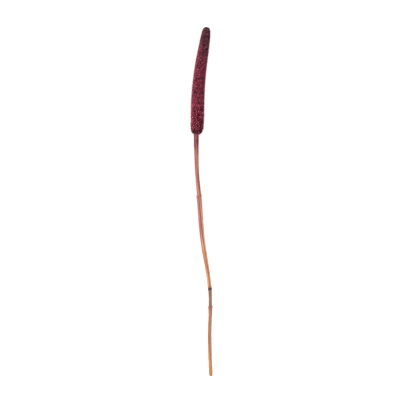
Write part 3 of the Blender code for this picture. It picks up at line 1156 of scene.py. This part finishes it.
def spikelet_turn(tree, given, outward, tipward):
    """Stands a form on the surface, turns it to the tip, and tilts and twists it at random."""
    stand = add_node(tree, "FunctionNodeAlignRotationToVector", {"Vector": outward}, axis="Z")
    feeds = {"Rotation": stand, "Vector": tipward}
    face_tip = add_node(
        tree, "FunctionNodeAlignRotationToVector", feeds, axis="X", pivot_axis="Z"
    )
    feeds = {"X": given["Lean"], "Y": given["Lean"], "Z": given["Twist"]}
    most = add_node(tree, "ShaderNodeCombineXYZ", feeds)
    least = add_node(tree, "ShaderNodeVectorMath", {0: most, "Scale": -1.0}, operation="SCALE")
    feeds = {0: least, 1: most, "Seed": given["Seed"]}
    tilt = add_node(tree, "FunctionNodeRandomValue", feeds, data_type="FLOAT_VECTOR")
    tilt_turn = add_node(tree, "FunctionNodeEulerToRotation", {0: tilt})
    feeds = {"Rotation": face_tip, "Rotate By": tilt_turn}
    return add_node(tree, "FunctionNodeRotateRotation", feeds, rotation_space="LOCAL")


def spikelet_scale(tree, given, size, reach):
    """The station's size, less a random share, and its reach for the height as well."""
    feeds = {0: 1.0, 1: given["Size spread"]}
    low = add_node(tree, "ShaderNodeMath", feeds, operation="SUBTRACT")
    feeds = {2: low, 3: 1.0, "Seed": SIZE_SEED}
    vary = add_node(tree, "FunctionNodeRandomValue", feeds, data_type="FLOAT")
    across = add_node(tree, "ShaderNodeMath", {0: size, 1: vary}, operation="MULTIPLY")
    height = add_node(tree, "ShaderNodeMath", {0: across, 1: reach}, operation="MULTIPLY")
    return add_node(tree, "ShaderNodeCombineXYZ", {"X": across, "Y": across, "Z": height})


print("seeds:", SIZE_SEED, FORM_SEED, TONE_SEED)


# %% The planting tree
def planting_tree():
    """The tree, with a named input for each thing that a set of forms may need set."""
    tree = bpy.data.node_groups.new("plant_spikelets", "GeometryNodeTree")
    sockets = (
        ("Stations", "NodeSocketGeometry"),
        ("Forms", "NodeSocketCollection"),
        ("Lean", "NodeSocketFloat"),
        ("Twist", "NodeSocketFloat"),
        ("Size spread", "NodeSocketFloat"),
        ("Seed", "NodeSocketInt"),
        ("Finish", "NodeSocketMaterial"),
    )
    for name, kind in sockets:
        tree.interface.new_socket(name, in_out="INPUT", socket_type=kind)
    tree.interface.new_socket("Spikelets", in_out="OUTPUT", socket_type="NodeSocketGeometry")
    given = add_node(tree, "NodeGroupInput").outputs
    outward, tipward, size, reach = [
        add_node(tree, "GeometryNodeInputNamedAttribute", {"Name": name}, data_type=kind)
        for name, kind in (
            ("outward", "FLOAT_VECTOR"),
            ("tipward", "FLOAT_VECTOR"),
            ("size", "FLOAT"),
            ("reach", "FLOAT"),
        )
    ]
    turned = spikelet_turn(tree, given, outward, tipward)
    scale = spikelet_scale(tree, given, size, reach)
    feeds = {4: 0, 5: len(GRAIN_FORMS) - 1, "Seed": FORM_SEED}
    pick = add_node(tree, "FunctionNodeRandomValue", feeds, data_type="INT")
    feeds = {"Collection": given["Forms"], "Separate Children": True, "Reset Children": True}
    forms = add_node(tree, "GeometryNodeCollectionInfo", feeds)
    feeds = {
        "Points": given["Stations"],
        "Instance": forms,
        "Pick Instance": True,
        "Instance Index": pick,
        "Rotation": turned,
        "Scale": scale,
    }
    planted = add_node(tree, "GeometryNodeInstanceOnPoints", feeds)
    feeds = {2: 0.0, 3: 1.0, "Seed": TONE_SEED}
    tone = add_node(tree, "FunctionNodeRandomValue", feeds, data_type="FLOAT")
    feeds = {"Geometry": planted, "Name": "tone", "Value": tone}
    toned = add_node(
        tree, "GeometryNodeStoreNamedAttribute", feeds, data_type="FLOAT", domain="INSTANCE"
    )
    real = add_node(tree, "GeometryNodeRealizeInstances", {0: toned})
    feeds = {"Geometry": real, "Material": given["Finish"]}
    finished = add_node(tree, "GeometryNodeSetMaterial", feeds)
    add_node(tree, "NodeGroupOutput", {0: finished})
    return tree


PLANTING = planting_tree()
print("planting nodes:", len(PLANTING.nodes))

# %% [markdown]
# ### Finish of the grain
# Dyed grain: a hard seed coat with a dull sheen, burgundy, no two quite alike. Painted shade makes
# it darkest down between its neighbours and lightest on top. The dye has greyed at the head's tip,
# where the grain is small and dry, and there its colour is also darkened as painted shade. It is
# reddest at the base. The husks are papery, so they are matt, and a little darker. The bristles are
# stiff dry hairs, the palest of all. A tree of nodes for each would mostly repeat the others, so
# one function makes them all. It reads what each point stores: its spikelet's random tone, its
# distance from the tip, and its height on the form.

# %% Dye on seed coat, paper and hair
PORE = 0.0004                  # metres between the fine pits of a seed coat
GREYED_AND_SHADED = (0.010, 0.090)        # metres from the tip: the tip's grey and painted shade fade from here to there
REDDENED = (0.150, 0.200)      # and the base's red grows from here to there
# The darkest to the lightest grain at the head's tip, greyer and darkened as painted shade, and at
# its base, redder
TIP_TONES_AND_SHADE = ((0.0, "40202a"), (0.6, "502830"), (0.85, "683c44"), (1.0, "82545a"))
BASE_TONES = ((0.0, "7c162a"), (0.5, "9a2e44"), (1.0, "b44a60"))
MOTTLE_TINTS = ((0.32, "c4b0b6"), (0.50, "ece4e8"), (0.66, "ffffff"))


def dyed_finish(name, roughness, tones, deep, mottle_size):
    """tones run from the darkest to the lightest grain. deep is the painted shade colour down in
    the gaps.
    """
    material, tree, shader = new_material(name, roughness, 0.25)
    tone, along, rise = [
        add_node(tree, "ShaderNodeAttribute", attribute_name=attribute).outputs["Fac"]
        for attribute in ("tone", "along", "rise")
    ]
    own, tip_own_and_shade, base_own = [
        add_node(tree, "ShaderNodeValToRGB", {"Fac": tone}, stops=stops)
        for stops in (tones, TIP_TONES_AND_SHADE, BASE_TONES)
    ]
    place = add_node(tree, "ShaderNodeTexCoord")
    mottle, pores = [
        add_node(
            tree,
            "ShaderNodeTexNoise",
            {"Vector": place.outputs["Object"], "Scale": 1.0 / size, "Detail": detail},
        )
        for size, detail in ((mottle_size, 3.0), (PORE, 2.0))
    ]
    mottle_tint = add_node(tree, "ShaderNodeValToRGB", {"Fac": mottle}, MOTTLE_TINTS)
    feeds = {0: along, 1: GREYED_AND_SHADED[0], 2: GREYED_AND_SHADED[1], 3: 0.90, 4: 0.0}
    near_tip = add_node(tree, "ShaderNodeMapRange", feeds)
    feeds = {0: along, 1: REDDENED[0], 2: REDDENED[1], 3: 0.0, 4: 0.95}
    near_base = add_node(tree, "ShaderNodeMapRange", feeds)
    # Painted shade darkens each form low down. Near the base only the tops are clear of it
    unshaded_from = add_node(tree, "ShaderNodeMapRange", {0: near_base, 3: 0.15, 4: 0.74})
    unshaded_to = add_node(tree, "ShaderNodeMapRange", {0: near_base, 3: 0.75, 4: 1.00})
    feeds = {0: rise, 1: unshaded_from, 2: unshaded_to, 3: 0.94, 4: 0.0}
    # Painted shade: below a height on the form, read from rise, the deep colour covers it
    gap = add_node(tree, "ShaderNodeMapRange", feeds)
    dyed = own
    for share, tint, blend in (
        (0.8, mottle_tint, "MULTIPLY"),
        (near_tip, tip_own_and_shade, "MIX"),
        (near_base, base_own, "MIX"),
        (gap, colour(deep), "MIX"),
    ):
        feeds = {MIX_FACTOR: share, MIX_A: dyed, MIX_B: tint}
        dyed = add_node(tree, "ShaderNodeMix", feeds, data_type="RGBA", blend_type=blend)
    feed(shader, "Base Color", dyed)
    feeds = {"Height": pores, "Strength": 0.4, "Distance": 0.00015}
    feed(shader, "Normal", add_node(tree, "ShaderNodeBump", feeds))
    return material


# The grey at the tip is partly painted shade
print("grey fades out at", GREYED_AND_SHADED[1], "m from the tip, red starts at", REDDENED[0])

# %% Finishes of grain, husks, bristles and core
GRAIN_TONES = ((0.0, "6f2136"), (0.3, "842b40"), (0.7, "99384f"), (1.0, "ac4a61"))
HUSK_TONES = ((0.0, "651e2e"), (0.5, "7d2b3e"), (1.0, "944053"))
BRISTLE_TONES = ((0.0, "7a2c3c"), (1.0, "b86a76"))
# The deep colour given to each finish is the painted shade in the gaps
FINISHES = {
    "grains": dyed_finish("dyed_grain", 0.55, GRAIN_TONES, "300a14", 0.007),
    "husks": dyed_finish("dyed_husk", 0.8, HUSK_TONES, "300a14", 0.006),
    "bristles": dyed_finish("dyed_bristle", 0.7, BRISTLE_TONES, "3a1019", 0.006),
}
# The core is matt chaff in the gaps, coloured all over as painted shade. It stores no rise, so the
# deep colour covers it.
CORE_SHADE_TONES = ((0.0, "2c0a12"), (1.0, "2c0a12"))
core.data.materials.append(dyed_finish("dyed_core", 0.95, CORE_SHADE_TONES, "2c0a12", 0.004))
print("finishes:", [m.name for m in FINISHES.values()])

# %% Plant them and keep plain meshes
LEAN = math.radians(10.0)
TWIST = math.radians(40.0)
SETTINGS = {"Lean": LEAN, "Twist": TWIST, "Size spread": 0.12, "Seed": 5}


def plant(name):
    """Plants one set of forms on the stations and returns it as a plain mesh piece."""
    source = add_object(name, stations.copy())
    modifier = source.modifiers.new("planting", "NODES")
    modifier.node_group = PLANTING
    given = {"Forms": FORMS[name], "Finish": FINISHES[name], **SETTINGS}
    for item in PLANTING.interface.items_tree:
        if item.in_out == "INPUT" and item.name in given:
            modifier[item.identifier] = given[item.name]
    shown = source.evaluated_get(bpy.context.evaluated_depsgraph_get())
    mesh = bpy.data.meshes.new_from_object(shown)
    bpy.data.objects.remove(source)
    for attribute in ("outward", "tipward"):
        if attribute in mesh.attributes:
            mesh.attributes.remove(mesh.attributes[attribute])
    # No grain reaches below the floor
    points = np.empty(len(mesh.vertices) * 3, np.float32)
    mesh.vertices.foreach_get("co", points)
    points[2::3] = np.maximum(points[2::3], SOLIDS_BOX[0].z)
    mesh.vertices.foreach_set("co", points)
    return add_object(name, mesh)


for name in FORMS:
    piece = plant(name)
    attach(piece, "root")
    piece.data.calc_loop_triangles()
    print(name, "triangles:", len(piece.data.loop_triangles), piece.data.attributes.keys())
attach(core, "root")
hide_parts("seed_head")

# %% [markdown]
# ## Size
# Both boxes, of the solids and of the finished stem, are printed in millimetres. The finished stem
# has to fill the box of the solids, give or take three per cent of each side.

# %% Write both boxes and finish
FINISHED_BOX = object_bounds()
for name, box in (("solids", SOLIDS_BOX), ("finished", FINISHED_BOX)):
    print(name, [[round(1000 * x, 2) for x in corner] for corner in box])
